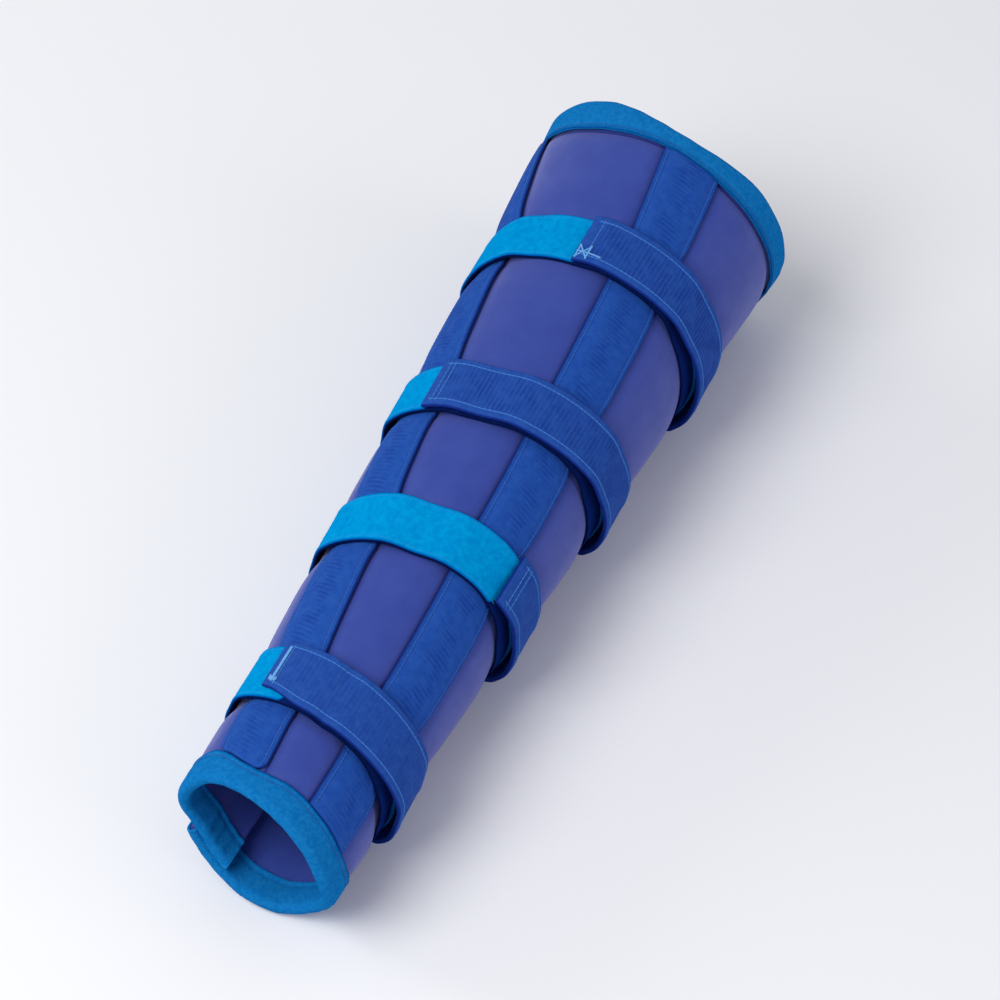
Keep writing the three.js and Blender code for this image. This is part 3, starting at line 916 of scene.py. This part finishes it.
# %% A tape along a strap
def make_tape(name, strap, point, span, base, thickness, inset, step, edge=None,
              plain=2.0, clear=1.0):
    """span is the first and last angle, base the height of the tape's underside."""
    edge = edge or thickness * 0.6
    width = strap["width"] - 2 * inset
    radius = float(girth(strap["along"]))
    length = math.radians(span[1] - span[0]) * radius
    along = stations(length, step, edge)
    across = stations(width, 1.5, edge)
    angle, side = np.meshgrid(span[0] + np.degrees(along / radius), across - width / 2)
    beside = border_distance(side + width / 2, width)
    ends = border_distance(np.radians(angle - span[0]) * radius, length)
    border = np.minimum(beside, ends)
    half = thickness / 2 * swell(border, edge)
    outer = point(strap, angle, side, base + thickness / 2 + half)
    inner = point(strap, angle, side, base + thickness / 2 - half)
    cloth = np.stack((side, np.radians(angle) * radius), -1) * MILLIMETRE
    # The rib mark raises the ribs and sets the painted shade in their hollows, fading out near
    # the border
    ribs = clear * ease(0.7 * plain, 1.2 * plain, border)
    piece = wall(name, outer, inner, cloth, {
        "edge": (border, border), "rib": (ribs, 0.0), "along": (cloth[..., 1], 0.0)})
    middle = (outer + inner) / 2
    line = middle[len(middle) // 2]
    cut_length = float(np.linalg.norm(np.diff(line, axis=0), axis=-1).sum())
    return piece, (width * MILLIMETRE, cut_length), net_area(middle)


# %% All four straps
strap_tapes = {}
for number, strap in enumerate(STRAPS):
    name = strap["name"]
    root = LOOP_ROOT_ANGLE - 360
    base, base_cut, _ = make_tape(
        name + "_base_tape", strap, loop_point, (root, LOOP_END_ANGLE), 0.0,
        BASE_THICKNESS, 0.0, 0.8)
    finish_cloth(base, BASE_WEBBING, 2.2, 0.05)
    velour, velour_cut, velour_area = make_tape(
        name + "_velour", strap, velour_point, (root + 1.5, LOOP_END_ANGLE - 1.5),
        BASE_THICKNESS, VELOUR_THICKNESS, 0.5, 0.8)
    finish_cloth(velour, LOOP_VELOUR, pile=0.24, grain=1.5, seed=10.0 + number)
    hook, hook_cut, _ = make_tape(
        name + "_hook_webbing", strap, hook_point, (strap["tab"], HOOK_ROOT_ANGLE), 0.0,
        HOOK_THICKNESS, 0.0, 0.5, 0.9, 3.6, strap["ribs"])
    finish_cloth(hook, HOOK_WEBBING, 1.8, 0.05)
    strap_tapes[name] = (
        (base, base_cut, None), (velour, velour_cut, velour_area), (hook, hook_cut, None))

# %% [markdown]
# ## Stitches by Geometry Nodes
# A sewing machine leaves the same stitch again and again along a path, which is
# what instances are for. Each row is first a bare line of points that know which
# way the cloth faces. The tree spaces stitches along the line, lays one long bead
# on each place, and turns it to the line and the cloth.

# %% The stitch tree
stitching, enter, leave = new_group(
    "Stitches along lines", "GeometryNodeTree",
    (("Geometry", "Geometry"), ("Pitch", "Float"), ("Length", "Float"),
     ("Width", "Float"), ("Material", "Material")),
    (("Geometry", "Geometry"),))
path = node(stitching, "GeometryNodeMeshToCurve", ((0, enter["Geometry"]),))
spaced = node(stitching, "GeometryNodeResampleCurve", (
    ("Curve", path.outputs[0]), ("Length", enter["Pitch"])), mode="LENGTH")
facing = node(stitching, "GeometryNodeInputNamedAttribute", (("Name", "facing"),),
              data_type="FLOAT_VECTOR")
tangent = node(stitching, "GeometryNodeInputTangent")
along_line = node(stitching, "FunctionNodeAlignRotationToVector", (
    ("Vector", tangent.outputs[0]),), axis="X")
on_cloth = node(stitching, "FunctionNodeAlignRotationToVector", (
    ("Rotation", along_line.outputs[0]), ("Vector", facing.outputs["Attribute"])),
    axis="Z", pivot_axis="X")
bead = node(stitching, "GeometryNodeMeshUVSphere", (
    ("Segments", 6), ("Rings", 5), ("Radius", 0.5)))
size = node(stitching, "ShaderNodeCombineXYZ", (
    (0, enter["Length"]), (1, enter["Width"]), (2, enter["Width"])))
laid = node(stitching, "GeometryNodeInstanceOnPoints", (
    ("Points", spaced.outputs[0]), ("Instance", bead.outputs[0]),
    ("Rotation", on_cloth.outputs[0]), ("Scale", size.outputs[0])))
end_tree(stitching, laid.outputs[0], enter, leave)


# %% Rows of stitches as lines of points
def sew(name, rows, material, pitch=2.2, length=3.3, width=0.8):
    """rows are pairs of nets: points on the cloth, and points 1 mm above them."""
    points, normals, edges = [], [], []
    for low, high in rows:
        start = sum(len(p) for p in points)
        points.append(low)
        normals.append((high - low) / np.linalg.norm(high - low, axis=-1, keepdims=True))
        edges += [(start + i, start + i + 1) for i in range(len(low) - 1)]
    mesh = bpy.data.meshes.new(name)
    mesh.from_pydata(np.concatenate(points).tolist(), edges, [])
    kept = mesh.attributes.new("facing", "FLOAT_VECTOR", "POINT")
    kept.data.foreach_set("vector", np.concatenate(normals).astype(np.float32).ravel())
    piece = run_tree(new_piece(name, mesh), stitching, material, {
        "Pitch": pitch, "Length": length, "Width": width})
    piece.data.polygons.foreach_set("use_smooth", np.ones(len(piece.data.polygons), bool))
    return piece


# %% Rows on the straps
STITCH_INSET = 3.0
LOOP_STITCH_INSET = 2.2


def strap_row(strap, point, angle, across, height):
    return (point(strap, angle, across, height), point(strap, angle, across, height + 1))


def back_from_tab(strap, way):
    return strap["tab"] + math.degrees(way / girth(strap["along"]))


def tape_rows(strap, point, inset, angle, turns, top):
    """A row along each edge of a tape, and one across it at each of the turns."""
    half = strap["width"] / 2 - inset
    rows = [strap_row(strap, point, angle, side, top) for side in (-half, half)]
    across = np.linspace(-half, half, 20)
    return rows + [strap_row(strap, point, np.full_like(across, turn), across, top)
                   for turn in turns]


def hook_rows(strap):
    angle = np.linspace(back_from_tab(strap, 4.0), HOOK_ROOT_ANGLE - 2, 90)
    turns = [back_from_tab(strap, way) for way in strap["rows"]]
    turns += [HOOK_ROOT_ANGLE - 3, HOOK_ROOT_ANGLE - 7]
    return tape_rows(strap, hook_point, STITCH_INSET, angle, turns, HOOK_THICKNESS - 0.02)


def loop_rows(strap):
    root = LOOP_ROOT_ANGLE - 360
    angle = np.linspace(root + 3, strap["tab"] + 1, 160)
    top = BASE_THICKNESS + VELOUR_THICKNESS - 0.08
    return tape_rows(
        strap, loop_point, LOOP_STITCH_INSET, angle, (root + 4, root + 8), top)


hook_stitches = sew(
    "hook_stitches", [row for strap in STRAPS for row in hook_rows(strap)], HOOK_THREAD)
loop_stitches = sew(
    "loop_stitches", [row for strap in STRAPS for row in loop_rows(strap)], LOOP_THREAD,
    width=0.45)

# %% [markdown]
# ## Bar tacks
# Where a pull would tear the end of a seam, the machine sews back and forth over
# one spot. Strap 1 has a crossed tack at its tab's lower corner, and strap 4 a bar
# that ends in a knot.


# %% The two tacked tabs
def tack_row(strap, ends, layer):
    """A short straight row on a tab, between two (from the tab, across) places."""
    (back, side), (back_2, side_2) = ends
    steps = np.linspace(0, 1, 6)
    turn = strap["tab"] + np.degrees((back + (back_2 - back) * steps) / girth(strap["along"]))
    across = side + (side_2 - side) * steps
    return strap_row(strap, hook_point, turn, across, HOOK_THICKNESS + 0.1 + 0.25 * layer)


CROSS_TACK = (((1.2, -11.2), (1.2, -4.8)), ((5.6, -11.2), (5.6, -4.8)),
              ((1.2, -11.0), (5.6, -5.0)), ((5.6, -11.0), (1.2, -5.0)),
              ((1.2, -8.0), (10.5, -8.6)))
BAR_TACK = (((3.4, -9.5), (3.4, 9.5)), ((4.1, -9.5), (4.1, 9.5)),
            ((2.6, -9.8), (4.9, -8.2)), ((4.9, -9.8), (2.6, -8.2)),
            ((2.4, -9.0), (5.1, -9.0)), ((3.75, -10.3), (3.75, -7.7)))
tack_rows = [tack_row(STRAPS[0], ends, k % 2) for k, ends in enumerate(CROSS_TACK)]
tack_rows += [tack_row(STRAPS[3], ends, k % 2) for k, ends in enumerate(BAR_TACK)]
tacks = sew("tab_tacks", tack_rows, TACK_THREAD, pitch=0.9, length=1.4, width=0.9)


# %% Rows on the pockets, the bindings and the flap
def panel_row(x, angle, height):
    return place(x, angle, height), place(x, angle, height + 1)


def pocket_rows(name):
    along = np.linspace(0.008, 0.994, 220)
    return [panel_row(*pocket_place(name, np.full_like(along, side), along), 0.94)
            for side in (-POCKET_STITCH, POCKET_STITCH)]


def binding_row(seam, inward):
    angle = np.linspace(INNER_EDGE_ANGLE + 2, FLAP_EDGE_ANGLE - 2, 420)
    x = line_x(seam, angle, inward * (BINDING_WIDTH - BINDING_STITCH_INSET))
    return panel_row(x, angle, 0.95 - closure_drop(angle))


def flap_row():
    x = np.linspace(18, SLEEVE_LENGTH - 18, 160)
    turn = FLAP_EDGE_ANGLE - np.degrees(5 / girth_at(x))
    return panel_row(x, turn, 0.16)


pocket_stitches = sew(
    "pocket_stitches", [row for name in POCKETS for row in pocket_rows(name)],
    POCKET_THREAD)
binding_stitches = sew(
    "binding_stitches", [binding_row(WRIST_SEAM, 1), binding_row(SHOULDER_SEAM, -1)],
    BINDING_THREAD)
flap_stitches = sew("flap_stitches", [flap_row()], POCKET_THREAD)

# %% [markdown]
# ## What each piece stands for
# Each piece is listed with a cloth name and the imported solid it stands for, which
# is hidden. The flat cut of each strap tape is printed below. Nothing in a splint
# turns on a joint, so every piece rides on the one body.

# %% Bodies and replaced solids
DRESSED = [
    (panel, "panel_fabric", "sleeve"),
    (flap_stitches, "panel_fabric", None),
    (wrist_binding, "binding_knit", "wrist_binding"),
    (shoulder_binding, "binding_knit", "shoulder_binding"),
    (binding_stitches, "binding_knit", None),
    (pocket_stitches, "pocket_webbing", None),
    (hook_stitches, "hook_webbing", None),
    (tacks, "hook_webbing", None),
    (loop_stitches, "loop_velour", None),
]
DRESSED += [(piece, "pocket_webbing", name) for name, piece in pockets.items()]
for name, ((base, *_), (velour, *_), (hook, *_)) in strap_tapes.items():
    DRESSED.append((base, "hook_webbing", name + "_loop"))
    DRESSED.append((velour, "loop_velour", name + "_loop"))
    DRESSED.append((hook, "hook_webbing", name + "_hook"))
for piece, slot_name, stands_for in DRESSED:
    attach(piece, "root")
    if stands_for:
        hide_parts(stands_for)
print("pieces", len(DRESSED))

# %% Flat sizes of the cloths
for strap in STRAPS:
    for piece, cut, area in strap_tapes[strap["name"]]:
        print(piece.name, [round(1000 * side, 1) for side in cut], "mm")

# %% [markdown]
# ## Camera, light and floor
# The camera stands where the photograph's stood, high on the wrist side, with a
# long lens. The light is soft and comes from the camera's upper left.

# %% Camera
camera_data = bpy.data.cameras.new("camera")
camera_data.lens = 144.0
camera_data.sensor_width = 36.0
camera_data.clip_start = 0.05
camera_data.clip_end = 100.0
camera = new_piece("camera", camera_data)
bpy.context.scene.camera = camera
eye = Vector((-0.97832, -0.49997, 1.27682))
look = Vector((0.59640, 0.29754, -0.74550)).normalized()
right = Vector((0.44643, -0.89482, 0.0)).normalized()
up = right.cross(look)
turned = Matrix((right, up, -look)).transposed()
camera.matrix_world = Matrix.Translation(eye) @ turned.to_4x4()
print("camera stands", round(eye.length, 3), "m away")

# %% Lights
target = eye + look * 1.646


def softbox(name, toward, distance, width, power, tint=(1, 1, 1)):
    """A square soft light that stands in a direction from the splint and faces it."""
    data = bpy.data.lights.new(name, "AREA")
    data.size = width
    data.energy = power
    data.color = tint
    lamp = new_piece(name, data)
    direction = Vector(toward).normalized()
    lamp.location = target + direction * distance
    lamp.rotation_mode = "QUATERNION"
    lamp.rotation_quaternion = (-direction).to_track_quat("-Z", "Y")


softbox("key", -look + up * 0.3 - right * 0.6, 2.0, 1.2, 28)
softbox("fill", -look * 0.6 + right * 0.9 - up * 0.1, 2.4, 1.6, 13, (0.94, 0.86, 1.0))
softbox("rim", up * 0.7 - right * 1.1 - look * 0.1, 2.2, 0.8, 9)
print("lights", [lamp.name for lamp in bpy.data.lights])

# %% Floor and surroundings
bpy.ops.mesh.primitive_plane_add(size=60)
floor = bpy.context.active_object
floor.name = "floor"
floor_paint, _, shader = new_material("floor")
set_sockets(shader, ("Base Color", (0.86, 0.86, 0.865, 1)), ("Roughness", 0.8))
floor.data.materials.append(floor_paint)
world = bpy.data.worlds.new("studio")
world.use_nodes = True
set_sockets(world.node_tree.nodes["Background"],
            ("Color", (0.9, 0.93, 1.0, 1)), ("Strength", 0.46))
bpy.context.scene.world = world
bpy.context.scene.view_settings.view_transform = "Standard"
print("floor and", world.name)
